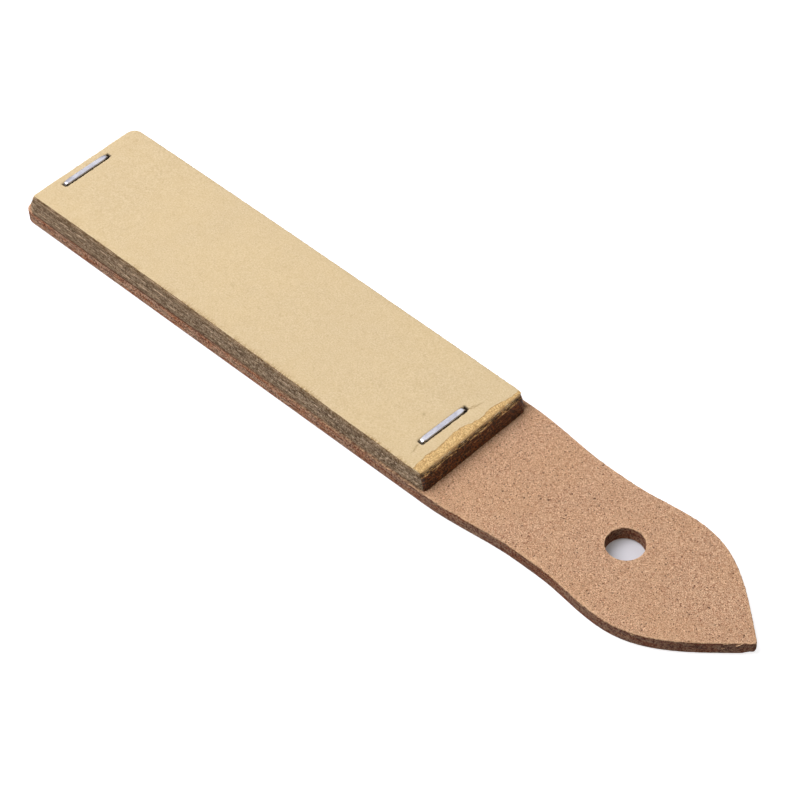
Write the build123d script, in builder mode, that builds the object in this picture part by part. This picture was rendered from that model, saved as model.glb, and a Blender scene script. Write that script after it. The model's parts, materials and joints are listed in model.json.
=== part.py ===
from build123d import *
import math
import os

# A pencil pointer: a stack of tear-off abrasive sheets on a fibreboard paddle. The stack is
# glued along its end face next to the handle and stapled through to the board at both ends.
# Millimetres. The origin is under the middle of the paddle, on the surface that the staples'
# clinched legs rest on. +X runs to the pointed tip of the handle and +Z up through the sheets.

# Paddle
board_length = 173.6
board_width = 28.9
board_thickness = 3.0
board_lift = 0.35              # the clinched legs hold the board this far off the surface
far_corner_radius = 2.0
tip_radius = 0.5
lower_arris_radius = 0.4       # the cutting die rolls the lower edge over
waist_width = 25.6
bulge_width = 28.0
shoulder_from_tip = 64.1       # the sides run parallel up to here
waist_start_from_tip = 43.1
waist_end_from_tip = 38.6
bulge_from_tip = 24.1
spear_from_tip = 12.1          # a point half way along each curved side of the spear tip
spear_half_width = 10.3
tip_slope = -0.88              # how the sides run into the tip

# Hanging hole
hole_radius = 3.65
hole_from_tip = 30.3
hole_offset = 1.3              # punched a little off the middle line

# Stack of abrasive sheets
sheet_count = 12
sheet_thickness = 0.37
sheet_length = 105.85
sheet_width = 26.8
board_beyond_stack = 2.6       # board showing past the top sheet at the far end
stack_offset = -0.44           # the stack is glued a little off the middle line
stack_skew = -0.3              # and turned a little, in degrees
far_fan = 1.6                  # the lowest sheet reaches this much further at the far end
near_fan = 0.55                # and this much further towards the handle
sheet_splay = 0.46             # and is turned back this many degrees about the near staple
sheet_shuffle = 0.05           # how unevenly the sheets are knocked up
far_back_corner_radius = 2.0   # the sheets' corners are uneven, as the guillotine left them
near_back_corner_radius = 0.8
front_corner_radius = 0.4
far_front_rounding = 1.6       # the lowest sheet's far front corner is rounder by this much

# Staples, bent from flat wire
wire_width = 1.15
wire_thickness = 0.5
crown_length = 11.3
crown_sink = 0.25              # the crown presses this far into the top sheet
crown_bend_radius = 0.6
clinch_bend_radius = 0.45
clinch_length = 4.2            # each leg is folded inwards this far under the board
point_chamfer = 0.25
far_staple_inset = 2.3         # from the top sheet's far end
far_staple_offset = -1.5       # from the stack's middle line
far_staple_tilt = 0.0          # degrees
near_staple_inset = 5.05
near_staple_offset = -2.25
near_staple_tilt = -1.6

# Binding glue
film_thickness = 0.16
lip_thickness = 0.06
lip_root = 0.4                 # how far the film and the lip share the edge of the top sheet
lip_widths = (1.9, 2.2, 2.1, 2.25, 2.2, 1.25, 1.5, 0.9, 0.7)   # front to back, its wavy border

board_top = board_lift + board_thickness
stack_height = sheet_count * sheet_thickness
stack_top = board_top + stack_height
tip_x = board_length / 2
far_x = -board_length / 2
stack_x = far_x + board_beyond_stack + sheet_length / 2
skew = math.radians(stack_skew)
stack_x_dir = (math.cos(skew), math.sin(skew), 0)
stack_y_dir = (-math.sin(skew), math.cos(skew), 0)


def stack_point(along, across, height):
    """A point given from the middle of the stack, along and across the top sheet's sides."""
    x = stack_x + along * stack_x_dir[0] + across * stack_y_dir[0]
    y = stack_offset + along * stack_x_dir[1] + across * stack_y_dir[1]
    return (x, y, height)


def make_staple(inset_along, offset_across, tilt):
    """One staple: crown on top of the stack, legs through it, points folded in below."""
    turn = math.radians(stack_skew + tilt)
    crown_plane = Plane(
        origin=stack_point(inset_along, offset_across, 0),
        x_dir=(-math.sin(turn), math.cos(turn), 0),
        z_dir=(math.cos(turn), math.sin(turn), 0),
    )
    crown_top = stack_top + wire_thickness - crown_sink
    hollow_height = crown_top - 2 * wire_thickness
    hollow_width = crown_length - 2 * wire_thickness
    point_gap = crown_length - 2 * clinch_length
    with BuildPart() as staple:
        with BuildSketch(crown_plane):
            with Locations((0, crown_top / 2)):
                Rectangle(crown_length, crown_top)
            fillet(vertices().group_by(Axis.Y)[-1], crown_bend_radius)
            fillet(vertices().group_by(Axis.Y)[0], clinch_bend_radius)
            with Locations((0, crown_top / 2)):
                Rectangle(hollow_width, hollow_height, mode=Mode.SUBTRACT)
            with Locations((0, wire_thickness / 2)):
                Rectangle(point_gap, wire_thickness, mode=Mode.SUBTRACT)
        extrude(amount=wire_width / 2, both=True)
        across_wire = edges().filter_by(Axis((0, 0, 0), crown_plane.z_dir))
        chamfer(across_wire.group_by(Axis.Z)[0], point_chamfer)
    return staple.part


def make_paddle(staples):
    """The board: parallel sides, a waist, a bulge and a spear tip, with the hanging hole."""
    half_width = board_width / 2
    half_waist = waist_width / 2
    half_bulge = bulge_width / 2
    shoulder = (tip_x - shoulder_from_tip, half_width)
    waist_start = (tip_x - waist_start_from_tip, half_waist)
    waist_end = (tip_x - waist_end_from_tip, half_waist)
    bulge = (tip_x - bulge_from_tip, half_bulge)
    spear = (tip_x - spear_from_tip, spear_half_width)
    half_angle = math.atan(-tip_slope)
    apex = (tip_x + tip_radius * (1 / math.sin(half_angle) - 1), 0)
    with BuildPart() as paddle:
        with BuildSketch(Plane.XY.offset(board_lift)):
            with BuildLine():
                Polyline((far_x, 0), (far_x, half_width), shoulder)
                Spline(shoulder, waist_start, tangents=[(1, 0), (1, 0)])
                Line(waist_start, waist_end)
                Spline(waist_end, bulge, tangents=[(1, 0), (1, 0)])
                Spline(bulge, spear, apex, tangents=[(1, 0), (1, tip_slope)])
                mirror(about=Plane.XZ)
            make_face()
        extrude(amount=board_thickness)
        upright = edges().filter_by(Axis.Z).sort_by(Axis.X)
        fillet(upright[:2], far_corner_radius)
        fillet(edges().filter_by(Axis.Z).sort_by(Axis.X)[-1], tip_radius)
        fillet(faces().sort_by(Axis.Z)[0].outer_wire().edges(), lower_arris_radius)
        with Locations((tip_x - hole_from_tip, hole_offset, board_top)):
            Hole(hole_radius)
        add(staples, mode=Mode.SUBTRACT)
    return paddle.part


def make_sheet(number, staples):
    """One abrasive sheet, number 0 on top. Lower sheets fan out at both ends and splay."""
    depth = number / (sheet_count - 1)
    shuffle_along = sheet_shuffle * math.sin(2.4 * number)
    shuffle_across = sheet_shuffle * math.cos(1.7 * number)
    length = sheet_length + (far_fan + near_fan) * depth
    middle = (near_fan - far_fan) * depth / 2 + shuffle_along
    bottom = stack_top - (number + 1) * sheet_thickness
    pivot = sheet_length / 2 - near_staple_inset
    splay = math.radians(sheet_splay * depth)
    along = pivot + (middle - pivot) * math.cos(splay)
    across = (middle - pivot) * math.sin(splay) + shuffle_across
    turn = skew + splay
    sheet_plane = Plane(
        origin=stack_point(along, across, bottom),
        x_dir=(math.cos(turn), math.sin(turn), 0),
        z_dir=(0, 0, 1),
    )
    with BuildPart() as sheet:
        with BuildSketch(sheet_plane):
            Rectangle(length, sheet_width)
            fillet(
                vertices().group_by(Axis.Y)[0].sort_by(Axis.X)[0],
                front_corner_radius + far_front_rounding * depth**3,
            )
            fillet(vertices().group_by(Axis.Y)[0].sort_by(Axis.X)[-1], front_corner_radius)
            fillet(vertices().group_by(Axis.Y)[-1].sort_by(Axis.X)[0], far_back_corner_radius)
            fillet(vertices().group_by(Axis.Y)[-1].sort_by(Axis.X)[-1], near_back_corner_radius)
        extrude(amount=sheet_thickness)
        add(staples, mode=Mode.SUBTRACT)
    return sheet.part


def make_binding_glue(sheets):
    """A film of glue down the stack's end face, with a wavy lip onto the top sheet."""
    end = sheet_length / 2
    splay_reach = sheet_width / 2 * math.sin(math.radians(sheet_splay))
    film_foot = end + near_fan + splay_reach + sheet_shuffle + film_thickness
    film_head = end + film_thickness
    lip_top = stack_height + lip_thickness
    half_width = sheet_width / 2 - near_back_corner_radius / 2
    end_plane = Plane(
        origin=stack_point(0, 0, board_top),
        x_dir=stack_x_dir,
        z_dir=(-stack_y_dir[0], -stack_y_dir[1], 0),
    )
    top_plane = Plane(
        origin=stack_point(0, 0, stack_top), x_dir=stack_x_dir, z_dir=(0, 0, 1)
    )
    spacing = 2 * half_width / (len(lip_widths) - 1)
    border = [(end - width, -half_width + spacing * i) for i, width in enumerate(lip_widths)]
    with BuildPart() as glue:
        with BuildSketch(end_plane):
            with BuildLine():
                Polyline(
                    (end - lip_root, 0),
                    (film_foot, 0),
                    (film_head, lip_top),
                    (end - lip_root, lip_top),
                    close=True,
                )
            make_face()
        extrude(amount=half_width, both=True)
        with BuildSketch(top_plane):
            with BuildLine():
                Spline(border)
                Polyline(border[-1], (film_head - lip_root / 2, half_width))
                Line((film_head - lip_root / 2, half_width), (film_head - lip_root / 2, -half_width))
                Line((film_head - lip_root / 2, -half_width), border[0])
            make_face()
        extrude(amount=lip_thickness)
        add(sheets, mode=Mode.SUBTRACT)
    return glue.part


def save(part, name):
    part.label = name
    export_step(part, f"parts/{name}.step")


os.makedirs("parts", exist_ok=True)

stack_half_length = sheet_length / 2
staple_far = make_staple(far_staple_inset - stack_half_length, far_staple_offset, far_staple_tilt)
staple_near = make_staple(stack_half_length - near_staple_inset, near_staple_offset, near_staple_tilt)
staples = [staple_far, staple_near]
paddle = make_paddle(staples)
sheets = [make_sheet(number, staples) for number in range(sheet_count)]
binding_glue = make_binding_glue(sheets)

save(paddle, "paddle")
for number, sheet in enumerate(sheets):
    save(sheet, f"sheet_{number + 1:02d}")
save(binding_glue, "binding_glue")
save(staple_far, "staple_far")
save(staple_near, "staple_near")
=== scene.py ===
import json
import math
import random

import bpy
import numpy as np
from mathutils import Matrix, Vector, noise
from mathutils.geometry import delaunay_2d_cdt


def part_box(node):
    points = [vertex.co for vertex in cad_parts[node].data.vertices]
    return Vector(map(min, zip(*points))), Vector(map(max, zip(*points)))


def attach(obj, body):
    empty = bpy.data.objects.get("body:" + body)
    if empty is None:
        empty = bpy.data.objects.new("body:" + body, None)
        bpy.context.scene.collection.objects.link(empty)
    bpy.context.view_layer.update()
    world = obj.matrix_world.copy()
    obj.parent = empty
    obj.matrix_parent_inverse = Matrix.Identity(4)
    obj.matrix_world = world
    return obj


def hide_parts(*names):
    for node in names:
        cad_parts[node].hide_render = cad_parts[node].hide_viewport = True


# A pencil pointer: tear-off abrasive sheets, glued and stapled on a fibreboard paddle.
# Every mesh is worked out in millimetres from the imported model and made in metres.

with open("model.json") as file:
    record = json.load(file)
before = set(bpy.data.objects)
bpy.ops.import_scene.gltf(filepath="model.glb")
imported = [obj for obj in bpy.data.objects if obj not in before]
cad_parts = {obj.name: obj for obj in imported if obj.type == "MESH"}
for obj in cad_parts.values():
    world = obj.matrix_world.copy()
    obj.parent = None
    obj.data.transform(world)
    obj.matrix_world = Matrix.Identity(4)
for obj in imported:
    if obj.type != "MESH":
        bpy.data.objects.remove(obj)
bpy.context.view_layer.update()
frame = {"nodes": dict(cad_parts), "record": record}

MM = 0.001
UP = Vector((0, 0, 1))

SHEETS = sorted(name for name in frame["nodes"] if name.startswith("sheet_"))
TOP_SHEET = SHEETS[0]
STAPLES = ("staple_far", "staple_near")


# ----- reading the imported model

def cad_points(node):
    """A CAD node's vertices, in millimetres, merged where faces meet, and its faces."""
    mesh = frame["nodes"][node].data
    flat = np.zeros(len(mesh.vertices) * 3)
    mesh.vertices.foreach_get("co", flat)
    points = flat.reshape(-1, 3) / MM
    _, first, index = np.unique(points.round(3), axis=0, return_index=True, return_inverse=True)
    faces = [[int(index[v]) for v in p.vertices] for p in mesh.polygons]
    return points[first], faces


def loops_at(node, height):
    """Outlines (x, y) of a CAD node's flat face at a height, longest first."""
    points, faces = cad_points(node)
    level = np.abs(points[:, 2] - height) < 0.002
    count = {}
    for face in faces:
        if all(level[v] for v in face):
            for a, b in zip(face, face[1:] + face[:1]):
                if a != b:
                    count[(a, b)] = count.get((a, b), 0) + 1
    follow = {a: b for (a, b) in count if (b, a) not in count}
    loops = []
    while follow:
        start, at = follow.popitem()
        loop = [start]
        while at != start and at in follow:
            loop.append(at)
            at = follow.pop(at)
        loops.append(points[loop][:, :2])
    return sorted(loops, key=loop_length, reverse=True)


def loop_length(loop):
    return np.linalg.norm(np.roll(loop, -1, 0) - loop, axis=1).sum()


def levels(node):
    """The lowest and highest z of a CAD node, in millimetres."""
    low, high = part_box(node)
    return low.z / MM, high.z / MM


def longest_edge_direction(node):
    """The direction, towards +X, of the longest straight edge of a CAD node."""
    points, faces = cad_points(node)
    best = max(
        ((points[b] - points[a]) for f in faces for a, b in zip(f, f[1:] + f[:1])),
        key=lambda edge: np.hypot(edge[0], edge[1]) if abs(edge[2]) < 0.001 else 0,
    )
    best = best[:2] / np.hypot(best[0], best[1])
    return best if best[0] > 0 else -best


BOARD_LOW, BOARD_TOP = levels("paddle")
STACK_TOP = levels(TOP_SHEET)[1]
STACK_HEIGHT = STACK_TOP - BOARD_TOP

ALONG = longest_edge_direction(TOP_SHEET)
ACROSS = np.array((-ALONG[1], ALONG[0]))
top_outline = loops_at(TOP_SHEET, STACK_TOP)[0]
top_s, top_t = top_outline @ ALONG, top_outline @ ACROSS
STACK_CENTRE = ALONG * (top_s.max() + top_s.min()) / 2 + ACROSS * (top_t.max() + top_t.min()) / 2
HALF_LENGTH = np.ptp(top_s) / 2
HALF_WIDTH = np.ptp(top_t) / 2


def to_stack(xy):
    """x, y as distances along and across the stack, from its middle."""
    d = np.asarray(xy, float) - STACK_CENTRE
    return d @ ALONG, d @ ACROSS


def from_stack(s, t):
    """The x, y of distances along and across the stack."""
    return STACK_CENTRE + np.multiply.outer(s, ALONG) + np.multiply.outer(t, ACROSS)


class Wire:
    """Where a staple is in x and y: its crown's middle, direction, length and width."""

    def __init__(self, node):
        points, _ = cad_points(node)
        flat = points[:, :2]
        crown = flat[points[:, 2] > levels(node)[1] - 0.02]
        self.middle = (flat.max(0) + flat.min(0)) / 2
        spread = crown - crown.mean(0)
        self.direction = np.linalg.svd(spread, full_matrices=False)[2][0]
        if self.direction @ ACROSS < 0:
            self.direction = -self.direction
        self.side = np.array((self.direction[1], -self.direction[0]))
        reach = (flat - self.middle) @ self.direction
        width = (flat - self.middle) @ self.side
        self.length = np.ptp(reach)
        self.middle = self.middle + self.direction * (reach.max() + reach.min()) / 2
        self.middle = self.middle + self.side * (width.max() + width.min()) / 2
        self.width = np.ptp(width)
        self.low, self.high = levels(node)

    def local(self, xy):
        """x, y as distances across and along the crown, from its middle."""
        d = np.asarray(xy, float) - self.middle
        return d @ self.side, d @ self.direction


WIRES = {name: Wire(name) for name in STAPLES}
WIRE_THICKNESS = 0.5


# ----- small numeric helpers

def smooth(edge0, edge1, x):
    """0 at the first edge, 1 at the second, with a soft start and end."""
    t = np.clip((x - edge0) / (edge1 - edge0), 0, 1)
    return t * t * (3 - 2 * t)


def rough(points, scale, seed=0.0):
    """Smooth noise from -1 to 1 at each point; scale is the size of its features in mm."""
    shift = Vector((seed, seed * 1.7, -seed))
    return np.array([noise.noise(Vector(p) / scale + shift) for p in points])


def with_z(xy, z):
    """Points in x, y with a height each, or one height for all."""
    return np.column_stack([xy, np.broadcast_to(z, len(xy))])


def resample(loop, spacing):
    """A closed loop walked again in even steps of about that spacing, anticlockwise."""
    closed = np.vstack([loop, loop[:1]])
    steps = np.linalg.norm(np.diff(closed, axis=0), axis=1)
    at = np.concatenate([[0], np.cumsum(steps)])
    n = max(8, int(round(at[-1] / spacing)))
    walk = np.linspace(0, at[-1], n, endpoint=False)
    out = np.stack([np.interp(walk, at, closed[:, k]) for k in (0, 1)], 1)
    x, y = out[:, 0], out[:, 1]
    area = (x * np.roll(y, -1) - np.roll(x, -1) * y).sum()
    return out if area > 0 else out[::-1]


def outward(loop):
    """Unit normals of an anticlockwise loop, pointing out of it."""
    tangent = np.roll(loop, -1, 0) - np.roll(loop, 1, 0)
    tangent /= np.linalg.norm(tangent, axis=1, keepdims=True) + 1e-12
    return np.stack([tangent[:, 1], -tangent[:, 0]], 1)


def inside(points, loop):
    """Whether each point is inside a loop, by counting crossings."""
    x, y = points[:, 0], points[:, 1]
    hit = np.zeros(len(points), bool)
    for a, b in zip(loop, np.roll(loop, -1, 0)):
        between = (a[1] > y) != (b[1] > y)
        if between.any():
            cut = a[0] + (y - a[1]) * (b[0] - a[0]) / (b[1] - a[1] + 1e-12)
            hit ^= between & (x < cut)
    return hit


def clearance(points, loop):
    """Distance from each point to the nearest of a loop's points."""
    out = np.full(len(points), 1e9)
    for chunk in range(0, len(loop), 200):
        part = loop[chunk : chunk + 200]
        d = np.linalg.norm(points[:, None, :] - part[None, :, :], axis=2).min(1)
        out = np.minimum(out, d)
    return out


def jittered_grid(low, high, step, rng, jitter=0.3):
    """A square grid over a box, each point moved by up to jitter of a step."""
    xs = np.arange(low[0], high[0], step)
    ys = np.arange(low[1], high[1], step)
    grid = np.stack(np.meshgrid(xs, ys), 2).reshape(-1, 2)
    wobble = np.array([(rng.uniform(-1, 1), rng.uniform(-1, 1)) for _ in grid]).reshape(-1, 2)
    return grid + wobble * step * jitter


def put_in_scene(name, data):
    """A new object that shows some data."""
    made = bpy.data.objects.new(name, data)
    bpy.context.scene.collection.objects.link(made)
    return made


UP_AXIS = np.array((0.0, 0.0, 1.0))
HAIR_ANGLES = [math.pi / 2 * k for k in range(4)]  # a hair has a square section
MERGE_WITHIN = 1e-6  # for the triangulation, in mm


class Skin:
    """Gathers points, faces and per-point values for one mesh object."""

    def __init__(self):
        self.points, self.faces, self.values = [], [], {}
        self.count = 0

    def add(self, points, **values):
        points = np.asarray(points, float).reshape(-1, 3)
        start = self.count
        self.points.append(points)
        self.count += len(points)
        for key in set(self.values) | set(values):
            have = self.values.setdefault(key, [np.zeros(start)])
            have.append(np.broadcast_to(values.get(key, 0.0), len(points)).astype(float))
        return np.arange(start, self.count)

    def bridge(self, ring_a, ring_b, closed=True):
        """Quads between two rings of the same length, facing out when b is above a."""
        n = len(ring_a)
        for i in range(n if closed else n - 1):
            j = (i + 1) % n
            self.faces.append((ring_a[i], ring_a[j], ring_b[j], ring_b[i]))

    def tube(self, rings):
        """Quads all along a row of rings, and a face on each end."""
        for lower, upper in zip(rings, rings[1:]):
            self.bridge(lower, upper)
        self.faces.append(tuple(reversed(rings[0])))
        self.faces.append(tuple(rings[-1]))

    def blob(self, centre, along, radii, rng, **values):
        """A small lumpy crumb; along is the level direction of its first radius."""
        along = np.array((along[0], along[1], 0)) / np.hypot(along[0], along[1])
        across = np.array((-along[1], along[0], 0))
        tiers, sides = 5, 8
        rings = []
        for k in range(tiers):
            tilt = math.pi * (k + 0.5) / tiers
            ring = []
            for i in range(sides):
                a = 2 * math.pi * i / sides
                size = rng.uniform(0.8, 1.2)
                offset = along * (radii[0] * math.sin(tilt) * math.cos(a) * size)
                offset = offset + across * (radii[1] * math.sin(tilt) * math.sin(a) * size)
                ring.append(centre + offset + UP_AXIS * (-radii[2] * math.cos(tilt)))
            rings.append(self.add(ring, **values))
        self.tube(rings)

    def fibre(self, start, run, bend, radius, **values):
        """A thin tapered hair from a point, along a run, bowed sideways by bend."""
        run, bend = np.asarray(run, float), np.asarray(bend, float)
        side = np.cross(run, UP_AXIS + 0.1)
        side /= np.linalg.norm(side)
        lift = np.cross(side, run) / np.linalg.norm(run)
        steps = 5
        rings = []
        for k in range(steps + 1):
            share = k / steps
            at = start + run * share + bend * (4 * share * (1 - share))
            r = radius * (1.0 - 0.75 * share**2)
            ring = [at + side * r * math.cos(a) + lift * r * math.sin(a) for a in HAIR_ANGLES]
            rings.append(self.add(ring, **values))
        self.tube(rings)

    def fill(self, rings, inner, inner_ids, up):
        """Triangles over a flat region: its outside ring, then its holes', and inner points."""
        ids = np.concatenate([ring_ids for _, ring_ids in rings] + [inner_ids])
        flat = np.vstack([xy for xy, _ in rings] + [inner])
        edges = []
        start = 0
        for loop, _ in rings:
            n = len(loop)
            edges += [(start + i, start + (i + 1) % n) for i in range(n)]
            start += n
        points = [Vector(p) for p in flat]
        verts, _, tris, origin, _, _ = delaunay_2d_cdt(points, edges, [], 1, MERGE_WITHIN)
        name = [ids[o[0]] if o else -1 for o in origin]
        centres = np.array([sum((verts[v] for v in t), Vector((0, 0))) / 3 for t in tris])
        keep = np.ones(len(tris), bool)
        for loop, _ in rings[1:]:
            keep &= ~inside(centres, loop)
        for t, ok in zip(tris, keep):
            named = [name[v] for v in t]
            if ok and min(named) >= 0 and len(set(named)) == 3:
                self.faces.append(tuple(named) if up else tuple(reversed(named)))

    def build(self, name, material, sharp_over=None):
        """The mesh object; edges that turn by more than sharp_over degrees stay crisp."""
        mesh = bpy.data.meshes.new(name)
        points = np.vstack(self.points) * MM
        mesh.from_pydata(points.tolist(), [], [tuple(int(v) for v in f) for f in self.faces])
        for key, parts in self.values.items():
            layer = mesh.attributes.new(key, "FLOAT", "POINT")
            layer.data.foreach_set("value", np.concatenate(parts).astype(np.float32))
        mesh.validate()
        mesh.shade_smooth()
        if sharp_over:
            mesh.set_sharp_from_angle(angle=math.radians(sharp_over))
        mesh.materials.append(material)
        return put_in_scene(name, mesh)


# ----- materials

class Nodes:
    """Short names for building a material's node tree."""

    def __init__(self, name, roughness=0.7):
        self.material = bpy.data.materials.new(name)
        self.material.use_nodes = True
        self.tree = self.material.node_tree
        self.shader = self.tree.nodes["Principled BSDF"]
        self.shader.inputs["Roughness"].default_value = roughness
        self.place = self.tree.nodes.new("ShaderNodeTexCoord").outputs["Object"]

    def set(self, socket, value):
        if isinstance(value, bpy.types.NodeSocket):
            self.tree.links.new(value, socket)
        else:
            socket.default_value = value

    def node(self, kind, inputs, **settings):
        """A new node; inputs are values or other nodes' outputs, by name or number."""
        made = self.tree.nodes.new(kind)
        for key, value in settings.items():
            setattr(made, key, value)
        for key, value in inputs.items():
            self.set(made.inputs[key], value)
        return made

    def stretch(self, size, turn=0.0):
        """Object coordinates in units of size (x, y, z in mm), turned about z."""
        inputs = {"Vector": self.place, "Scale": tuple(s * MM for s in size)}
        inputs["Rotation"] = (0, 0, math.radians(turn))
        return self.node("ShaderNodeMapping", inputs, vector_type="TEXTURE").outputs["Vector"]

    def noise(self, size, detail=3.0, rough=0.55, turn=0.0, distortion=0.0):
        """Smooth noise about 0.5, with features of that size in mm, or of sizes x, y, z."""
        size = size if isinstance(size, tuple) else (size,) * 3
        inputs = {"Vector": self.stretch(size, turn), "Scale": 1.0, "Detail": detail}
        inputs |= {"Roughness": rough, "Distortion": distortion}
        return self.node("ShaderNodeTexNoise", inputs).outputs["Fac"]

    def lines(self, size, width, turn=0.0):
        """Thin wandering lines, like fibres: where a smooth noise crosses its middle."""
        wander = self.noise(size, detail=1.5, turn=turn, distortion=0.7)
        off = self.math("ABSOLUTE", self.math("SUBTRACT", wander, 0.5))
        return self.ramp(off, 0.0, width, 1.0, 0.0)

    def dots(self, size, radius, turn=0.0):
        """Round dots seen from above, about one for each size x size, from 0 to 1."""
        inputs = {"Vector": self.stretch((size,) * 3, turn), "Scale": 1.0}
        made = self.node("ShaderNodeTexVoronoi", inputs, voronoi_dimensions="2D")
        chance = self.node("ShaderNodeSeparateColor", {"Color": made.outputs["Color"]})
        reach = self.times(chance.outputs["Red"], radius / size)
        return self.ramp(self.math("SUBTRACT", made.outputs["Distance"], reach), 0.0, -0.06)

    def along_x(self, start, end, to_start=0.0, to_end=1.0):
        """A value that changes between two distances along the object, in mm."""
        split = self.node("ShaderNodeSeparateXYZ", {0: self.place})
        return self.ramp(split.outputs["X"], start * MM, end * MM, to_start, to_end)

    def ramp(self, value, low, high, to_low=0.0, to_high=1.0):
        inputs = {"Value": value, "From Min": low, "From Max": high}
        inputs |= {"To Min": to_low, "To Max": to_high}
        made = self.node("ShaderNodeMapRange", inputs, interpolation_type="SMOOTHSTEP")
        return made.outputs["Result"]

    def math(self, operation, a, b=0.0):
        return self.node("ShaderNodeMath", {0: a, 1: b}, operation=operation).outputs[0]

    def times(self, a, b):
        return self.math("MULTIPLY", a, b)

    def mix(self, factor, a, b):
        """From colour a to colour b as the factor goes from 0 to 1."""
        a, b = (colour(c) if isinstance(c, tuple) else c for c in (a, b))
        inputs = {"Factor": factor, "A": a, "B": b}
        return self.node("ShaderNodeMix", inputs, data_type="RGBA").outputs["Result"]

    def over(self, base, amount, paint, share):
        """A colour laid over another where amount is high, at most to that share."""
        return self.mix(self.times(amount, share), base, paint)

    def value(self, attribute):
        """A per-point value of the mesh, 0 where it has none of that name."""
        return self.node("ShaderNodeAttribute", {}, attribute_name=attribute).outputs["Fac"]

    def bump(self, height, distance, strength):
        inputs = {"Distance": distance * MM, "Strength": strength, "Height": height}
        return self.node("ShaderNodeBump", inputs).outputs["Normal"]

    def finish(self, base, normal, roughness=None, specular=0.5):
        self.set(self.shader.inputs["Base Color"], base)
        if roughness is not None:
            self.set(self.shader.inputs["Roughness"], roughness)
        self.set(self.shader.inputs["Normal"], normal)
        self.shader.inputs["Specular IOR Level"].default_value = specular
        return self.material


def colour(srgb):
    """An sRGB colour, from 0 to 255, as linear RGBA."""
    def linear(c):
        c /= 255
        return c / 12.92 if c <= 0.04045 else ((c + 0.055) / 1.055) ** 2.4
    return tuple(linear(c) for c in srgb) + (1.0,)


def fibreboard_material():
    """Pressed wood fibre: fine short fibres, pinholes painted dark as shade, a rougher cut edge.
    """
    n = Nodes("fibreboard", roughness=0.85)
    grain = n.noise(0.2, detail=1, rough=0.6)
    pale = n.math("MAXIMUM", n.lines(0.45, 0.05, 25), n.lines(0.38, 0.05, 140))
    dark = n.math("MAXIMUM", n.lines(0.42, 0.045, 80), n.lines(0.62, 0.035, 200))
    broad = n.noise(11.0, rough=0.6)
    face = n.mix(n.ramp(grain, 0.34, 0.66), (180, 124, 94), (255, 212, 175))
    face = n.over(face, pale, (248, 212, 178), 0.5)
    face = n.over(face, dark, (148, 92, 66), 0.5)
    face = n.over(face, n.ramp(broad, 0.35, 0.65), (222, 172, 128), 0.2)
    face = n.over(face, n.dots(0.95, 0.16), (96, 48, 32), 0.85)
    face = n.over(face, n.dots(2.6, 0.24, 35), (84, 42, 28), 0.8)

    patches = n.noise((5.0, 5.0, 1.2), detail=2)
    streaks = n.noise((3.0, 3.0, 0.3), rough=0.7)
    side_grain = n.noise(0.4, rough=0.85)
    side = n.mix(n.ramp(patches, 0.4, 0.6), (208, 122, 78), (218, 168, 140))
    side = n.over(side, n.ramp(streaks, 0.5, 0.36), (104, 54, 34), 0.75)
    side = n.over(side, n.ramp(streaks, 0.54, 0.64), (252, 208, 172), 0.8)
    side = n.over(side, n.ramp(side_grain, 0.5, 0.4), (76, 36, 22), 0.95)
    side = n.over(side, n.ramp(side_grain, 0.52, 0.62), (255, 214, 178), 0.9)
    # painted shade: the cut side gets darker towards the tip, which faces away from the key
    # light
    side = n.over(side, n.along_x(-20, 50), (92, 40, 20), 0.56)

    base = n.mix(n.value("cut"), face, side)
    # painted contact shadow of the stack on the ledges, with some glue stain
    base = n.over(base, n.value("grime"), (74, 38, 22), 0.85)
    # painted glints: the pale fuzz along the arris is lit up in patches as highlights
    glints = n.ramp(n.noise(1.1, detail=2), 0.4, 0.52, 0.12, 1.0)
    fuzz_and_glints = n.times(n.value("arris"), n.ramp(side_grain, 0.42, 0.56, 0.3, 0.9))
    base = n.over(base, fuzz_and_glints, (248, 204, 162), glints)
    # painted shade at the bottom of the pinholes
    base = n.mix(n.value("pit"), base, (72, 36, 22))
    height = n.math("ADD", grain, n.times(pale, 0.5))
    height = n.math("SUBTRACT", height, n.times(dark, 0.6))
    return n.finish(base, normal=n.bump(height, 0.12, 0.8), specular=0.25)


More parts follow.
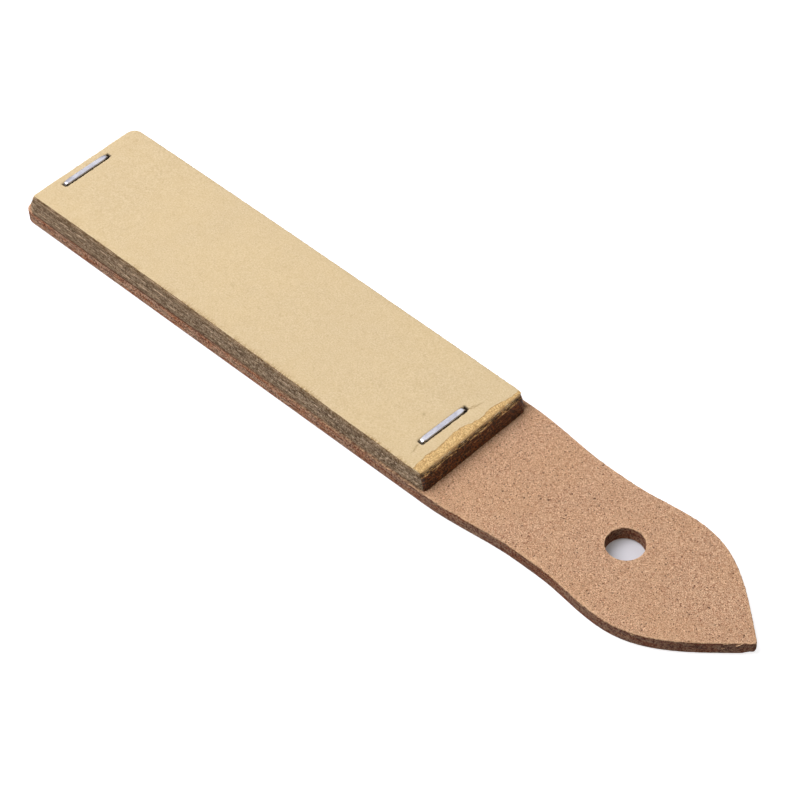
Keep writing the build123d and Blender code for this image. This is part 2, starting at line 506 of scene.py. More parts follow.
def paper_material():
    """Cream abrasive paper: fine grit on the face, grey-brown backing at the cut edges."""
    n = Nodes("abrasive_paper", roughness=0.9)
    grit = n.noise(0.3, rough=0.75)
    cloud = n.noise(1.7, rough=0.6)
    wide = n.noise(16.0)
    face = n.mix(n.ramp(grit, 0.25, 0.75), (200, 177, 139), (225, 204, 170))
    face = n.over(face, n.ramp(cloud, 0.35, 0.7), (201, 176, 133), 0.25)
    face = n.over(face, n.ramp(wide, 0.35, 0.65), (224, 198, 150), 0.14)
    face = n.over(face, n.lines(1.6, 0.018, 60), (170, 140, 98), 0.2)
    face = n.over(face, n.dots(4.5, 0.16), (140, 100, 60), 0.6)
    hairs = n.ramp(n.noise((0.24, 0.9, 1.0), detail=2, rough=0.6), 0.42, 0.56)
    tufts = n.ramp(n.noise(3.2, detail=2), 0.42, 0.56)
    fray = n.times(n.value("fray"), n.times(hairs, tufts))
    face = n.over(face, fray, (146, 108, 56), 0.8)

    strands = n.noise((2.4, 2.4, 0.16), rough=0.7)
    specks = n.noise(0.42, rough=0.85)
    rougher = n.along_x(-70, 15, 0.45, 0.85)
    edge = n.mix(n.ramp(strands, 0.4, 0.6), (100, 77, 55), (190, 163, 136))
    edge = n.over(edge, n.value("tone"), (104, 84, 64), 0.3)
    edge = n.over(edge, n.ramp(specks, 0.52, 0.63), (226, 202, 176), rougher)
    edge = n.over(edge, n.ramp(specks, 0.48, 0.38), (62, 44, 31), rougher)
    edge = n.over(edge, n.value("stain"), (146, 112, 68), 0.55)
    speck_shift = n.times(n.math("SUBTRACT", grit, 0.5), 1.1)
    torn = n.ramp(n.math("ADD", n.value("cut"), speck_shift), 0.35, 0.6)
    base = n.mix(torn, face, edge)
    # painted shade in the staples' leg holes and painted shadow beside the crowns; glue soaked
    # into the near corner's cut edge
    base = n.mix(n.value("pit"), base, (30, 21, 14))
    # painted shade along the creases; on the grit crumbs the same value gives their tone
    base = n.over(base, n.value("crease"), (150, 122, 82), 0.7)
    return n.finish(base, normal=n.bump(grit, 0.035, 0.35), specular=0.2)


def glue_material():
    """Padding glue: dark brown where thick, amber where it soaked in thin."""
    n = Nodes("padding_glue")
    blotch = n.noise(0.7, detail=4, rough=0.7)
    fine = n.noise((0.3, 0.34, 0.3), detail=2, rough=0.7)
    long = n.noise((0.5, 2.2, 0.2), detail=4, rough=0.75)
    thick = n.mix(n.ramp(fine, 0.42, 0.62), (26, 11, 4), (160, 94, 48))
    thick = n.over(thick, n.ramp(long, 0.52, 0.42), (22, 10, 5), 0.6)
    bare = n.mix(n.ramp(fine, 0.4, 0.58), (122, 78, 42), (250, 204, 142))
    shift = n.times(n.math("SUBTRACT", long, 0.5), 3.4)
    streak = n.ramp(n.math("ADD", n.value("bare"), shift), 0.35, 0.55)
    face = n.mix(streak, thick, bare)
    # painted shadow lines on the end face, broken up by blotches
    painted_shadow_lines = n.times(n.value("crack"), n.ramp(blotch, 0.58, 0.48))
    grit = n.noise(0.22, detail=2, rough=0.7)
    amber = n.mix(n.ramp(grit, 0.36, 0.64), (176, 134, 78), (234, 201, 143))
    amber = n.over(amber, n.dots(0.8, 0.14, 15), (140, 96, 48), 0.6)
    amber = n.over(amber, n.value("bare"), (255, 230, 182), 0.85)
    # the rim: a darker tide mark at the lip's wavy edge, and painted shade towards the arris
    rim = n.times(n.value("rim"), n.ramp(blotch, 0.4, 0.55, 0.35, 1.0))
    amber = n.over(amber, rim, (140, 98, 48), 0.85)
    base = n.mix(n.value("thin"), face, amber)
    # painted shadow lines, near black
    base = n.mix(painted_shadow_lines, base, (14, 7, 4))
    # painted glints: the glue blobs near white
    base = n.mix(n.value("fleck"), base, (248, 232, 194))
    roughness = n.ramp(blotch, 0.3, 0.7, 0.35, 0.7)
    return n.finish(base, roughness=roughness, normal=n.bump(fine, 0.05, 0.6), specular=0.35)


def wire_material():
    """Bright galvanised flat wire, with soft long scuffs."""
    n = Nodes("staple_wire", roughness=0.22)
    n.shader.inputs["Metallic"].default_value = 1.0
    scuff = n.noise((0.9, 2.4, 0.9), rough=0.6)
    fine = n.noise(0.25, detail=2)
    base = n.mix(n.ramp(scuff, 0.35, 0.7), (216, 216, 228), (186, 186, 202))
    roughness = n.ramp(n.math("ADD", scuff, n.times(fine, 0.3)), 0.5, 0.8, 0.16, 0.34)
    return n.finish(base, roughness=roughness, normal=n.bump(scuff, 0.02, 0.25))


BOARD = fibreboard_material()
PAPER = paper_material()
GLUE = glue_material()
STEEL = wire_material()


# ----- the paddle

OUTLINE_STEP = 0.42  # spacing of the points round the board
HOLE_STEP = 0.3  # and round its hanging hole
FACE_STEP = 0.62  # and over its faces
HOLE_ARRIS = 0.12  # the hole's lower edge is rounded this much
PIT_DENSITY = 0.13  # pinholes for each square millimetre
PIT_DEPTH = 0.9  # as a share of the pinhole's radius
PIT_GAP = 0.7  # the least distance between two pinholes
TIP_ROUNDING = 1.3  # the tip's lower corner is worn this round
EDGE_FIBRES = 420  # loose fibres along the cut side
TORN_FROM_TIP = 2.6  # where the one thick torn fibre is

# A pinhole's rings of points: distance out, how many, how deep and how dark; the dark is painted
# shade in the hole.
PIT_RINGS = ((1.25, 8, 0.0, 0.0), (0.8, 6, 0.55, 0.7), (0.0, 1, 1.0, 1.0))


def ledge_shade_and_grime(xy):
    """1 on the narrow ledges beside the stack, falling to 0 at the board's arris."""
    # painted shade: the stack's contact shadow on the ledges, with some glue stain
    s, t = to_stack(xy)
    beside = smooth(1.5, 0.8, np.abs(t) - HALF_WIDTH)
    return beside * smooth(0.5, -0.1, np.abs(s) - HALF_LENGTH)


def well_inside(points, ring, gap, margin):
    """Which points are between the board's outline and its hole, clear of both."""
    free = inside(points, ring) & ~inside(points, gap)
    return free & (clearance(points, ring) > margin) & (clearance(points, gap) > margin)


def under_stack(points, margin):
    """Which points the stack hides, by at least that much."""
    s, t = to_stack(points)
    return (np.abs(s) < HALF_LENGTH - margin) & (np.abs(t) < HALF_WIDTH - margin)


def board_profile(lower_radius):
    """The cut side from the top down: inset, height, cut, raggedness and paleness, which is pale
    fuzz with painted glints.
    """
    rows = [(0.1, BOARD_TOP, 0.0, 0.03, 0.7), (0.03, BOARD_TOP - 0.03, 0.5, 0.05, 1.0)]
    rows.append((0.0, BOARD_TOP - 0.1, 1.0, 0.07, 1.0))
    rows.append((0.0, BOARD_TOP - 0.24, 1.0, 0.08, 0.0))
    straight = BOARD_TOP - BOARD_LOW - lower_radius
    rows += [(0.0, BOARD_TOP - straight * k / 10, 1.0, 0.08, 0.0) for k in range(1, 11)]
    for k in range(1, 5):
        a = math.pi / 2 * k / 4
        z = BOARD_LOW + lower_radius * (1 - math.sin(a))
        rows.append((lower_radius * (1 - math.cos(a)), z, 1.0 - 0.2 * k, 0.04, 0.0))
    return rows


def cut_wall(skin, loop, sign, rows, tip):
    """Rings down a cut wall; sign is 1 for the outside and -1 for the hole."""
    normals = outward(loop) * sign
    rings = []
    tipness = smooth(tip - 1.8, tip - 0.4, loop[:, 0])
    for inset, z, cut, wobble, pale in rows:
        at = with_z(loop, z)
        ragged = rough(at, 0.55, 3.0) * 0.6 + rough(at * (1, 1, 2.2), 0.22, 9.0) * 0.4
        drop = np.clip(1 - (z - BOARD_LOW) / TIP_ROUNDING, 0, 1)
        out = ragged * wobble - inset
        out = out - 0.75 * TIP_ROUNDING * (1 - math.sqrt(1 - drop**2)) * tipness
        xy = loop + normals * out[:, None]
        paler = pale * smooth(-45, 15, loop[:, 0])
        # painted contact shadow and glue stain on the ledge's top rows
        grime = ledge_shade_and_grime(xy) * (z > BOARD_TOP - 0.05)
        rings.append((xy, skin.add(with_z(xy, z), cut=cut, arris=paler, grime=grime)))
    for (_, upper), (_, lower) in zip(rings, rings[1:]):
        skin.bridge(*(lower, upper)[::sign])
    return rings


def pinholes(ring, gap, up, rng):
    """A face's pinholes: their places, and their points, depths and painted shade."""
    low, high = ring.min(0), ring.max(0)
    spots = []
    for _ in range(int((high - low).prod() * 0.9 * PIT_DENSITY)):
        spot = np.array([rng.uniform(low[0], high[0]), rng.uniform(low[1], high[1])])
        radius = rng.uniform(0.055, 0.115) * rng.choice((1, 1, 1, 1.5))
        spots.append((spot, radius, rng.uniform(0, math.pi)))
    centres = np.array([spot for spot, _, _ in spots])
    free = well_inside(centres, ring, gap, 0.5)
    if up:
        free &= ~under_stack(centres, 1)
    taken, pits, depths, pit_shade = [], [], [], []
    for ok, (spot, radius, turn) in zip(free, spots):
        if not ok or any(np.hypot(*(spot - other)) < PIT_GAP for other in taken[-60:]):
            continue
        taken.append(spot)
        stretched = rng.uniform(1.0, 1.7)
        c, sn = math.cos(turn), math.sin(turn)
        for share, count, depth, dark in PIT_RINGS:
            for k in range(count):
                a = 2 * math.pi * k / count + turn
                d = np.array([math.cos(a) * stretched, math.sin(a)]) * radius * share
                pits.append(spot + (d[0] * c - d[1] * sn, d[0] * sn + d[1] * c))
                depths.append(depth * radius * PIT_DEPTH)
                pit_shade.append(dark)
    return taken, np.array(pits).reshape(-1, 2), depths, pit_shade


def board_face(skin, ring, gap, z, up, rng):
    """One face of the board, with a slight unevenness and its pinholes."""
    grid = jittered_grid(ring[0].min(0), ring[0].max(0), FACE_STEP, rng)
    taken, pits, depths, pit_shade = pinholes(ring[0], gap[0], up, rng)
    keep = well_inside(grid, ring[0], gap[0], 0.3)
    for spot in taken:
        keep &= np.hypot(*(grid - spot).T) > 0.5
    if up:
        sparse = np.arange(len(grid)) % 12 == 0
        keep &= ~under_stack(grid, 2) | sparse
    grid = grid[keep]
    flat = np.vstack([grid, pits])
    level = np.zeros(len(grid))
    lift = rough(with_z(flat, 0.0), 0.8, 5.0) * 0.018
    lift -= np.concatenate([level, depths])
    heights = z + (lift if up else -lift)
    dark = np.concatenate([level, pit_shade])
    # painted contact shadow and glue stain beside the stack
    grime = ledge_shade_and_grime(flat) if up else 0.0
    ids = skin.add(with_z(flat, heights), pit=dark, grime=grime)
    skin.fill([ring, gap], flat, ids, up)


def loose_fibres(skin, outline, tip, rng):
    """Short fibres off the cut side, most at its top, and one thick torn one."""
    normals = outward(outline)
    for _ in range(EDGE_FIBRES):
        i = rng.randrange(len(outline))
        out = np.append(normals[i], 0)
        edge = np.array((-out[1], out[0], 0)) * rng.choice((-1, 1))
        length = rng.uniform(0.25, 1.0)
        depth = rng.random() ** 2.5
        at = outline[i] - normals[i] * (0.06 * (1 - depth))
        start = np.append(at, BOARD_TOP - 0.02 - depth * 1.6)
        run = edge + out * rng.uniform(-0.02, 0.12) + UP_AXIS * rng.uniform(-0.12, 0.06)
        bend = out * rng.uniform(0, 0.1) + UP_AXIS * rng.uniform(-0.05, 0.05)
        pale = (1.0 - 0.6 * depth) * (0.2 + 0.8 * float(smooth(-45, 15, start[0])))
        # glint fibres are painted paler, as highlights
        glint = rng.random() < 0.18
        radius = rng.uniform(0.05, 0.085) if glint else rng.uniform(0.025, 0.055)
        paler = pale * (2.2 if glint else 1.0)
        skin.fibre(start, run * length, bend * length, radius, cut=1.0, arris=paler)
    front = outline[:, 1] < 0
    i = int(np.argmin(np.abs(outline[:, 0] - (tip - TORN_FROM_TIP)) + 100 * ~front))
    hair = np.append(outline[i] + normals[i] * 0.05, BOARD_TOP - 0.7)
    skin.fibre(hair, (1.1, 1.0, 1.1), (0.1, -0.25, 0.1), 0.12, arris=3.0)


def make_paddle():
    """The board: filled faces with real pinholes, and a rough cut side all round."""
    rng = random.Random(11)
    skin = Skin()
    loops = loops_at("paddle", BOARD_TOP)
    outline = resample(loops[0], OUTLINE_STEP)
    hole = resample(max((l for l in loops[1:] if len(l) > 12), key=loop_length), HOLE_STEP)
    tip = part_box("paddle")[1].x / MM
    lower_arris = max(tip - loops_at("paddle", BOARD_LOW)[0][:, 0].max(), 0.3)
    outer = cut_wall(skin, outline, 1, board_profile(lower_arris), tip)
    inner = cut_wall(skin, hole, -1, board_profile(HOLE_ARRIS), tip)
    board_face(skin, outer[0], inner[0], BOARD_TOP, True, rng)
    board_face(skin, outer[-1], inner[-1], BOARD_LOW, False, rng)
    loose_fibres(skin, outline, tip, rng)
    return skin.build("paddle_board", BOARD, sharp_over=50)


# ----- the stack of sheets

PUFF = 0.38  # the stack swells by this much between the staples
PINCH = 0.07  # and is pressed in by this much under a crown
EDGE_CURL = 0.1  # the far end dips by this much past its staple
TOP_EDGE_STEP = 0.16  # spacing of the points round the top sheet
EDGE_STEP = 0.24  # and round the others
TOP_FACE_STEP = 0.55  # and over the top sheet
NEAR_STAPLE_STEP = 0.19  # and round its staples and creases
HIDDEN_FACE_STEP = 2.6  # and over the faces that don't show
GOLDEN_SHEETS = 4  # the upper sheets' edges are stained with glue, less and less
CREASE_DEPTH = 0.03
PUNCTURE_DEPTH = 0.28
CRUMBS = 110  # crumbs of grit on the top sheet's front arris


def stack_lift(xy, level):
    """How far the stack's surface stands off its flat CAD place; level is 1 at the top."""
    s, t = to_stack(xy)
    far, near = (to_stack(WIRES[name].middle)[0] for name in STAPLES)
    u = np.clip((s - far) / (near - far), 0, 1)
    swell = PUFF * np.sin(np.pi * u) ** 0.7 * (0.86 + 0.14 * np.cos(np.pi * t / HALF_WIDTH / 2))
    lift = swell - EDGE_CURL * smooth(far, -HALF_LENGTH, s)
    for wire in WIRES.values():
        across, along = wire.local(xy)
        half = wire.length / 2
        reach = smooth(half + 2.2, half - 0.3, np.abs(along))
        lift = lift - (PINCH * level) * reach * np.exp(-(np.abs(across) / 1.1) ** 1.6)
    return lift * level


def rolled_edge(distance):
    """How far the guillotine turned the top sheet's edge down, by distance from it."""
    return -0.1 * np.exp(-distance / 0.35)


# Faint folds on the top sheet: two points each, in mm across and along the near staple.
CREASES = (
    ((0.62, 5.9), (1.66, 9.6)),
    ((0.25, 5.8), (1.0, 7.6)),
    ((0.1, -6.0), (0.75, -8.8)),
    ((-4.56, -0.2), (-4.0, -1.3)),
)


def creases(xy):
    """How much each point is on a crease, from 0 to 1."""
    across, along = WIRES["staple_near"].local(xy)
    here = np.column_stack([across, along])
    out = np.zeros(len(here))
    for start, end in CREASES:
        start, run = np.array(start), np.subtract(end, start)
        length = np.hypot(*run)
        share = np.clip((here - start) @ run / length**2, 0, 1)
        bend = 0.1 * np.sin(share * 7.0)[:, None] * np.array((run[1], -run[0])) / length
        off = np.hypot(*(here - start - share[:, None] * run - bend).T)
        depth = np.exp(-((off / 0.11) ** 2)) * smooth(0, 0.2, share) * smooth(1, 0.6, share)
        out = np.maximum(out, depth)
    return out


def punctures_and_crown_shade(xy):
    """Where the staples' legs go in and their crowns press, from 0 to 1: a dent, painted as
    shade in the leg holes and as shadow along the crowns' sides.
    """
    out = np.zeros(len(xy))
    for wire in WIRES.values():
        across, along = wire.local(xy)
        for end, reach in ((1, 0.9), (-1, 0.42)):
            d = along * end - (wire.length / 2 - 0.1)
            torn = smooth(reach, reach * 0.6, np.abs(d)) * smooth(0.7, 0.5, np.abs(across))
            out = np.maximum(out, torn)
        within = smooth(0.2, -0.2, np.abs(along) - wire.length / 2)
        # painted shadow lines along each crown's sides, stronger on one side
        for edge, share in ((wire.width / 2 + 0.04, 1.0), (-wire.width / 2 - 0.04, 0.35)):
            line = smooth(0.19, 0.08, np.abs(across - edge)) * within
            out = np.maximum(out, line * share)
    return out


def front_fray(xy):
    """How near a point is to the front arris, more towards the near staple."""
    s, t = to_stack(xy)
    return np.exp(-np.clip(t + HALF_WIDTH - 0.1, 0, None) / 0.35) * smooth(-75, 5, s)


def detailed_grid(grid, border, rng):
    """The top sheet's grid, with a much finer one round each staple."""
    for wire in WIRES.values():
        across, along = wire.local(grid)
        away = (np.abs(across) > 2.0) | (np.abs(along) > wire.length / 2 + 6)
        grid = grid[away]
        reach = wire.length / 2 + 6.2
        fine = jittered_grid(wire.middle - reach, wire.middle + reach, NEAR_STAPLE_STEP, rng)
        across, along = wire.local(fine)
        close = (np.abs(across) < 2.1) & (np.abs(along) < wire.length / 2 + 6.1)
        close &= inside(fine, border) & (clearance(fine, border) > 0.2)
        grid = np.vstack([grid, fine[close]])
    return grid


def arris_crumbs(skin, loop, normals, rng):
    """Crumbs of grit that cling to the top sheet's front arris."""
    front = np.flatnonzero(to_stack(loop)[1] < -HALF_WIDTH + 0.05)
    for _ in range(CRUMBS):
        i = front[rng.randrange(len(front))]
        size = rng.uniform(0.035, 0.085)
        spot = loop[i] + normals[i] * rng.uniform(-0.12, 0.03)
        surface = STACK_TOP + float(stack_lift(spot[None, :], 1.0)[0])
        at = np.append(spot, surface - rng.uniform(0.06, 0.16))
        radii = (size * rng.uniform(1, 2.4), size, size * 0.7)
        skin.blob(at, ALONG, radii, rng, crease=rng.random())


def make_sheet(node, number):
    """One abrasive sheet: rough cut edges, and a detailed face on the top one."""
    rng = random.Random(100 + number)
    top = node == TOP_SHEET
    low_z, high_z = levels(node)
    level_high = (high_z - BOARD_TOP) / STACK_HEIGHT
    level_low = (low_z - BOARD_TOP) / STACK_HEIGHT
    loop = resample(loops_at(node, high_z)[0], TOP_EDGE_STEP if top else EDGE_STEP)
    normals = outward(loop)
    skin = Skin()
    sag = rough(with_z(loop, number * 3.0), 9.0, number) * 0.03
    gap = 0.004 + 0.01 * rng.random()
    tone = rng.random()
    shown = 0.0 if top else 1.0
    golden = max(0.0, 1 - number / GOLDEN_SHEETS)
    at_s, at_t = to_stack(loop)
    corner = smooth(HALF_LENGTH - 1.2, HALF_LENGTH - 0.5, at_s)
    corner *= smooth(HALF_WIDTH - 0.9, HALF_WIDTH - 0.4, at_t)

    def ring(inset, share, cut, wobble, stain, drop):
        """A ring round the cut edge; share is 1 at the top and 0 at the underside."""
        z = low_z + gap + (high_z - low_z - gap) * share
        at = with_z(loop, z * 4)
        ragged = rough(at, 1.1, number) * 0.35 + rough(at, 0.3, number + 7) * 0.65
        xy = loop + normals * (ragged * wobble - inset)[:, None]
        level = level_low + (level_high - level_low) * share
        height = z + stack_lift(xy, level) + sag - drop * top
        paint = {"cut": cut, "tone": tone, "stain": stain * golden, "fray": front_fray(xy) * top}
        soaked = corner * 0.85 if cut == 1.0 else 0.0
        return xy, skin.add(with_z(xy, height), **paint, pit=soaked)

    rows = [
        (0.30, 1.0, shown, 0.05, 0.0, 0.03),
        (0.05, 1.0, max(shown, 0.05), 0.12, 0.0, 0.07),
        (0.01, 0.8, 1.0, 0.15, 1.0, 0.03),
        (0.0, 0.5, 1.0, 0.15, 1.0, 0.0),
        (0.01, 0.2, 1.0, 0.15, 1.0, 0.0),
        (0.03, 0.0, 1.0, 0.12, 1.0, 0.0),
    ]
    rings = [ring(*row) for row in rows]
    for upper, lower in zip(rings, rings[1:]):
        skin.bridge(lower[1], upper[1])

    underside = (-1, low_z + gap, level_low, False)
    for side, z, level, up in ((0, high_z, level_high, True), underside):
        border = rings[side][0]
        detailed = top and up
        step = TOP_FACE_STEP if detailed else HIDDEN_FACE_STEP
        grid = jittered_grid(border.min(0), border.max(0), step, rng)
        margin = 0.25 if detailed else 1.0
        grid = grid[inside(grid, border) & (clearance(grid, border) > margin)]
        if detailed:
            grid = detailed_grid(grid, border, rng)
        height = z + stack_lift(grid, level)
        fold = hole = np.zeros(len(grid))
        if detailed:
            flat = with_z(grid, 0.0)
            height += rough(flat, 7.0, 2.0) * 0.03 + rough(flat, 1.6, 4.0) * 0.012
            height += rolled_edge(clearance(grid, loop))
            fold = creases(grid)
            hole = punctures_and_crown_shade(grid)
            height -= fold * CREASE_DEPTH + hole * PUNCTURE_DEPTH
        fray = front_fray(grid) * detailed
        ids = skin.add(with_z(grid, height), crease=fold, pit=hole, fray=fray)
        skin.fill([rings[side]], grid, ids, up)

    if top:
        arris_crumbs(skin, loop, normals, rng)
    return skin.build(f"{node}_paper", PAPER, sharp_over=55)


# ----- the binding glue

COLUMN_STEP = 0.14  # spacing of the film's points across the stack
LIP_ROWS = 16  # rows of points over the lip
FACE_ROWS = 150  # and down the end face
ARRIS_GAP = 0.12  # the lip's last row stops this short of the arris
GLINT_BLOBS = 34  # glue blobs painted pale as glints, in clusters about these places across
GLINT_BLOB_CLUSTERS = (-8.5, -7.0, -3.0, 2.0, 6.5, 9.5, 10.5)


def end_face_paint(layer, at, drip_at):
    """The end face's looks by layer, counted in sheets from the top."""
    wander = layer + 0.25 * rough(drip_at * (0, 1, 0), 3.0, 9.0)
    # painted shadow lines: a faint one just under the lip and a strong wandering one lower down
    crack = 0.2 * np.exp(-(((layer - 0.3) / 0.2) ** 2)) + np.exp(-(((wander - 2.1) / 0.28) ** 2))
    strand = smooth(0.0, 0.2, wander) * smooth(2.6, 1.4, wander)
    line = smooth(2.3, 2.6, wander) * smooth(3.4, 2.8, wander)
    gaps = 0.75 + 0.6 * rough(at, 3.2, 11.0)
    faint = 0.16 * smooth(4.6, 3.4, wander)
    bare = np.clip((strand + 0.56 * line + faint) * gaps, 0, 1.4)
    return {"bare": bare, "thin": smooth(2.3, 0.7, wander), "crack": crack}


def back_of_film(skin, rows):
    """Closes the film with a second surface behind its front one."""
    outer = np.vstack(skin.points)
    lowest = outer[rows[LIP_ROWS - 2]][:, 2] - 0.06
    back_rows = []
    for k, ids in enumerate(rows):
        back = outer[ids].copy()
        if k < LIP_ROWS:
            back[:, 2] -= 0.05
        else:
            back[:, :2] -= ALONG * 0.35
        if k >= LIP_ROWS - 2:
            back[:, 2] = np.minimum(back[:, 2], lowest)
        back_rows.append(skin.add(back))
    for upper, lower in zip(back_rows, back_rows[1:]):
        skin.bridge(upper, lower, closed=False)
    for a, b in ((rows[0], back_rows[0]), (back_rows[-1], rows[-1])):
        skin.bridge(a, b, closed=False)
    for side in (0, -1):
        for k in range(len(rows) - 1):
            quad = (rows[k][side], rows[k + 1][side], back_rows[k + 1][side], back_rows[k][side])
            skin.faces.append(quad if side == 0 else quad[::-1])


def make_glue():
    """The glue film: a wavy lip on the top sheet, over the arris and down the end face."""
    points, _ = cad_points("binding_glue")
    glue_top = levels("binding_glue")[1]
    s, _ = to_stack(points[:, :2])
    head = s[points[:, 2] > glue_top - 0.01].max()
    lip_s, lip_t = to_stack(loops_at("binding_glue", glue_top)[0])
    border = lip_s < HALF_LENGTH - 0.45      # the lip's wavy edge, without its outer sides
    order = np.argsort(lip_t[border])
    half = HALF_WIDTH - 0.12
    columns = np.arange(-half, half + 1e-6, COLUMN_STEP)
    flat = np.column_stack([columns, columns * 0, columns * 0])
    inner_edge = np.interp(columns, lip_t[border][order], lip_s[border][order])
    inner_edge = inner_edge + rough(flat, 1.1, 6.0) * 0.3 + rough(flat, 0.35, 8.0) * 0.1
    skin = Skin()
    rows = []

    def beside(x):
        """A place for the noise at each column: x, and the distance across."""
        return np.column_stack([np.broadcast_to(x, len(columns)), columns, columns * 0])

    def row(along, height, **values):
        rows.append(skin.add(with_z(from_stack(along, columns), height), **values))

    lip_end = head - ARRIS_GAP
    for k in range(LIP_ROWS):
        share = k / (LIP_ROWS - 1)
        along = inner_edge + (lip_end - inner_edge) * share
        spread = along - inner_edge
        film = 0.012 + 0.03 * (1 - np.exp(-spread / 0.25))
        film = film + 0.012 * rough(beside(along), 0.5, 1.0)
        rim = np.exp(-(spread / 0.14) ** 2)
        # painted shade: the lip darkens towards the arris
        rim = np.maximum(rim, 0.45 * smooth(0.6, 0.0, lip_end - along))
        thin = 1 - smooth(0.9, 1.0, share) * 0.35
        paper = STACK_TOP + stack_lift(from_stack(along, columns), 1.0)
        paper = paper + rolled_edge(np.clip(HALF_LENGTH - along, 0, None))
        row(along, paper + film, thin=thin, rim=rim)

    side_fade = smooth(half, half - 0.5, np.abs(columns))
    top_z = STACK_TOP + stack_lift(from_stack(head, columns), 1.0) - 0.04
    ledge_runs = [0.02, 0.2, 0.22] + [0.045] * (len(SHEETS) - 3)
    ledge_at = np.concatenate([[0], np.cumsum(ledge_runs)])
    for k in range(1, FACE_ROWS + 1):
        share = (k / FACE_ROWS) ** 1.25
        height = top_z + (BOARD_TOP + 0.01 - top_z) * share
        layer = min(share * len(SHEETS), len(SHEETS) - 0.001)
        sheet = int(layer)
        step = float(smooth(0.72, 1.0, layer - sheet))
        run = ledge_at[sheet] + (ledge_at[sheet + 1] - ledge_at[sheet]) * step
        at = beside(round(sheet + step) * 2.1)
        uneven = rough(at, 2.2, 2.0) * 0.06 + rough(at, 0.6, 3.0) * 0.05
        drip_at = beside(height * 1.4)
        along = head - 0.1 + run + rough(drip_at, 0.34, 5.0) * 0.035
        along = along + uneven * (0.3 + 0.7 * smooth(5.5, 1.5, layer))
        along = along - (1 - side_fade) * 0.25
        row(along, height, **end_face_paint(layer, at, drip_at))

    for upper, lower in zip(rows, rows[1:]):
        skin.bridge(lower, upper, closed=False)
    back_of_film(skin, rows)

    rng = random.Random(21)
    # glue blobs, painted pale as glints
    for _ in range(GLINT_BLOBS):
        middle = rng.choice(GLINT_BLOB_CLUSTERS)
        t = max(-half + 0.4, min(half - 0.6, middle + rng.gauss(0, 0.9)))
        deep = rng.random() ** 1.6 * 0.45
        i = int(np.argmin(np.abs(columns - t)))
        at = np.append(from_stack(head - 0.05 + deep * 0.5, t), top_z[i] - deep)
        size = rng.uniform(0.03, 0.1)
        radii = (size * rng.uniform(1.0, 2.6), size * 0.7, size * 0.6)
        skin.blob(at, ACROSS, radii, rng, fleck=1.0)
    return skin.build("glue_film", GLUE)


# ----- the staples

CLINCH_LENGTH = 4.2  # how far a leg runs back under the board
CROWN_BEND = 0.42  # radius of the bends under the crown
CLINCH_BEND = 0.35  # and of the ones under the board
WIRE_ROUNDING = 0.1  # the flat wire's edges


def wire_path(wire):
    """Distances along the crown and heights of the wire's middle line, end to end."""
    half = WIRE_THICKNESS / 2
    top, bottom = wire.high - half, wire.low + half
    end = wire.length / 2 - half
    shoulder, heel = top - CROWN_BEND, bottom + CLINCH_BEND
    inner, foot = end - CROWN_BEND, end - CLINCH_BEND
    run = CLINCH_LENGTH - half - CLINCH_BEND
    path = [(k / 12 * inner, top) for k in range(13)]
    for a in np.linspace(0, math.pi / 2, 7)[1:]:
        path.append((inner + CROWN_BEND * math.sin(a), shoulder + CROWN_BEND * math.cos(a)))
    path += [(end, shoulder + (heel - top + CROWN_BEND) * k / 4) for k in range(1, 5)]
    for a in np.linspace(0, math.pi / 2, 6)[1:]:
        path.append((foot + CLINCH_BEND * math.cos(a), heel - CLINCH_BEND * math.sin(a)))
    path += [(foot - run * k / 6, bottom) for k in range(1, 7)]
    path = np.array(path)
    return np.vstack([(path * (-1, 1))[::-1], path[1:]])


def wire_section(wire, scale, thin):
    """The wire's section, with rounded edges: across it, then its thickness."""
    w = wire.width / 2 * scale - WIRE_ROUNDING
    h = WIRE_THICKNESS / 2 * thin - WIRE_ROUNDING
    out = []
    for cx, cy, start in ((w, h, 0), (-w, h, 90), (-w, -h, 180), (w, -h, 270)):
        for k in range(5):
            a = math.radians(start + 90 * k / 4)
            out.append((cx + WIRE_ROUNDING * math.cos(a), cy + WIRE_ROUNDING * math.sin(a)))
    return out


def make_staple(node):
    """Flat wire, bent into a crown and two legs that are clinched under the board."""
    wire = WIRES[node]
    path = wire_path(wire)
    end = wire.length / 2 - WIRE_THICKNESS / 2
    last = len(path) - 1
    skin = Skin()
    rings = []
    for i, (a, z) in enumerate(path):
        before, after = path[max(i - 1, 0)], path[min(i + 1, last)]
        tangent = (after - before) / np.linalg.norm(after - before)
        pinch = float(smooth(end - 0.9, end, abs(a)))
        scale, thin = (0.8, 0.45) if i in (0, last) else (1.0 - 0.36 * pinch, 1.0)
        sag = 0.035 * math.cos(math.pi * a / wire.length) if z > STACK_TOP - 0.5 else 0.0
        ring = []
        for x, y in wire_section(wire, scale, thin):
            y = y + 0.01 * noise.noise(Vector((x * 1.5, a * 0.6, z)))
            xy = wire.middle + wire.direction * (a - tangent[1] * y) + wire.side * x
            ring.append((xy[0], xy[1], max(z + tangent[0] * y + sag, wire.low)))
        rings.append(skin.add(ring))
    skin.tube(rings)
    return skin.build(f"{node}_wire", STEEL, sharp_over=60)


# ----- putting it together

def mount(piece, node):
    """Puts a piece in its CAD node's place."""
    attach(piece, "root")
    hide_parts(node)


mount(make_paddle(), "paddle")
for number, node in enumerate(SHEETS):
    mount(make_sheet(node, number), node)
mount(make_glue(), "binding_glue")
for node in STAPLES:
    mount(make_staple(node), node)


# ----- floor, lights, camera

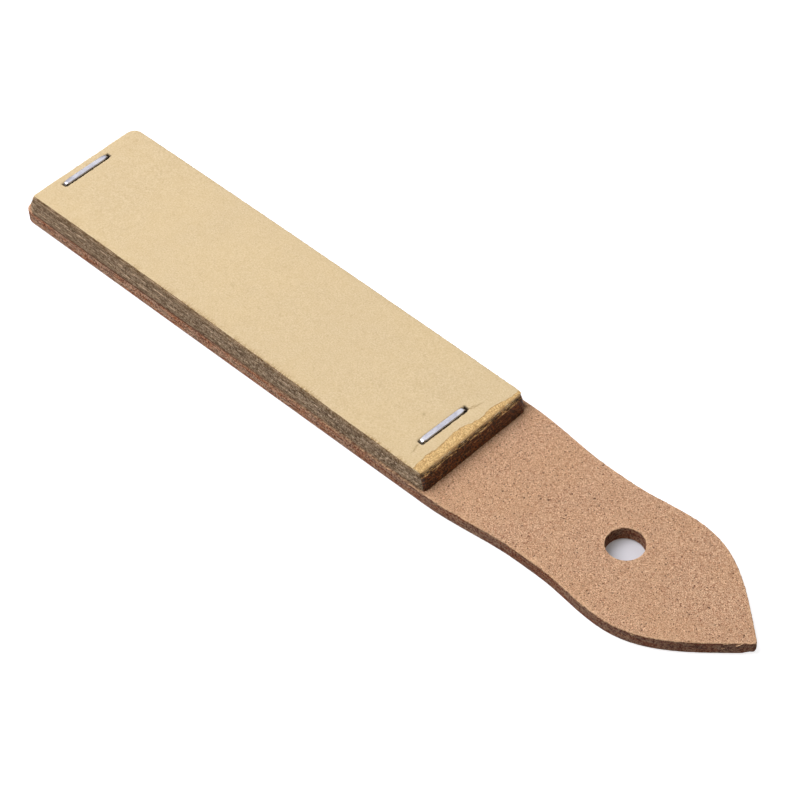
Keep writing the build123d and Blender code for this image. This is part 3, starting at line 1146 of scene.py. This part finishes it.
def make_floor():
    """A pale plane that glows a little, except under the hanging hole, where the missing glow is
    painted shade.
    """
    n = Nodes("studio_floor", roughness=0.9)
    n.shader.inputs["Base Color"].default_value = (0.56, 0.55, 0.61, 1)
    hole = frame["record"]["mounts"][0]
    inputs = {0: n.place, 1: (hole["pos_m"][0], hole["pos_m"][1], 0)}
    away = n.node("ShaderNodeVectorMath", inputs, operation="DISTANCE").outputs["Value"]
    edge = hole["dims"]["r_mm"] * MM
    # painted shade: the glow is low under the hanging hole
    strength = n.ramp(away, edge * 1.3, edge * 1.7, 0.1, 0.78)
    glow = n.node("ShaderNodeEmission", {"Color": (1, 1, 1, 1), "Strength": strength})
    both = n.node("ShaderNodeAddShader", {0: n.shader.outputs[0], 1: glow.outputs[0]})
    n.set(n.tree.nodes["Material Output"].inputs["Surface"], both.outputs[0])
    reach = 3.0
    corners = [(-reach, -reach, 0), (reach, -reach, 0), (reach, reach, 0), (-reach, reach, 0)]
    mesh = bpy.data.meshes.new("floor")
    mesh.from_pydata(corners, [], [(0, 1, 2, 3)])
    mesh.materials.append(n.material)
    floor = put_in_scene("floor", mesh)
    floor.visible_diffuse = False


def area_light(name, towards, distance, power):
    """A soft light, a metre square, that looks at the object from a direction."""
    light = bpy.data.lights.new(name, "AREA")
    light.size = 1.0
    light.energy = power
    lamp = put_in_scene(name, light)
    direction = Vector(towards).normalized()
    lamp.location = direction * distance
    lamp.rotation_mode = "QUATERNION"
    lamp.rotation_quaternion = direction.to_track_quat("Z", "Y")


def make_world(strength):
    """An even, slightly warm sky."""
    world = bpy.data.worlds.new("studio")
    world.use_nodes = True
    sky = world.node_tree.nodes["Background"]
    sky.inputs["Color"].default_value = (1.0, 0.95, 0.83, 1)
    sky.inputs["Strength"].default_value = strength
    bpy.context.scene.world = world


def make_camera():
    """A product shot's view: long lens, from the front right and above."""
    azimuth, elevation, roll = math.radians(-44.206), math.radians(48.073), math.radians(2.496)
    distance = 485.53 * MM
    target = Vector((4.933, -2.053, 5.1)) * MM
    level = math.cos(elevation)
    back = Vector((level * math.cos(azimuth), level * math.sin(azimuth), math.sin(elevation)))
    right = (-back).cross(UP).normalized()
    down = (-back).cross(right)
    tilted_right = right * math.cos(roll) + down * math.sin(roll)
    tilted_down = down * math.cos(roll) - right * math.sin(roll)
    data = bpy.data.cameras.new("camera")
    data.lens = 119.13
    data.sensor_width = 36.0
    data.clip_start, data.clip_end = 0.01, 10.0
    camera = put_in_scene("camera", data)
    axes = Matrix((tilted_right, -tilted_down, back)).transposed()
    camera.matrix_world = Matrix.Translation(target + back * distance) @ axes.to_4x4()
    bpy.context.scene.camera = camera


make_floor()
area_light("key", (-0.32, -0.36, 0.88), 1.3, 18.5)
area_light("card", (-0.481, 0.465, 0.743), 1.2, 2.7)
make_world(0.21)
make_camera()
bpy.context.scene.view_settings.view_transform = "Standard"
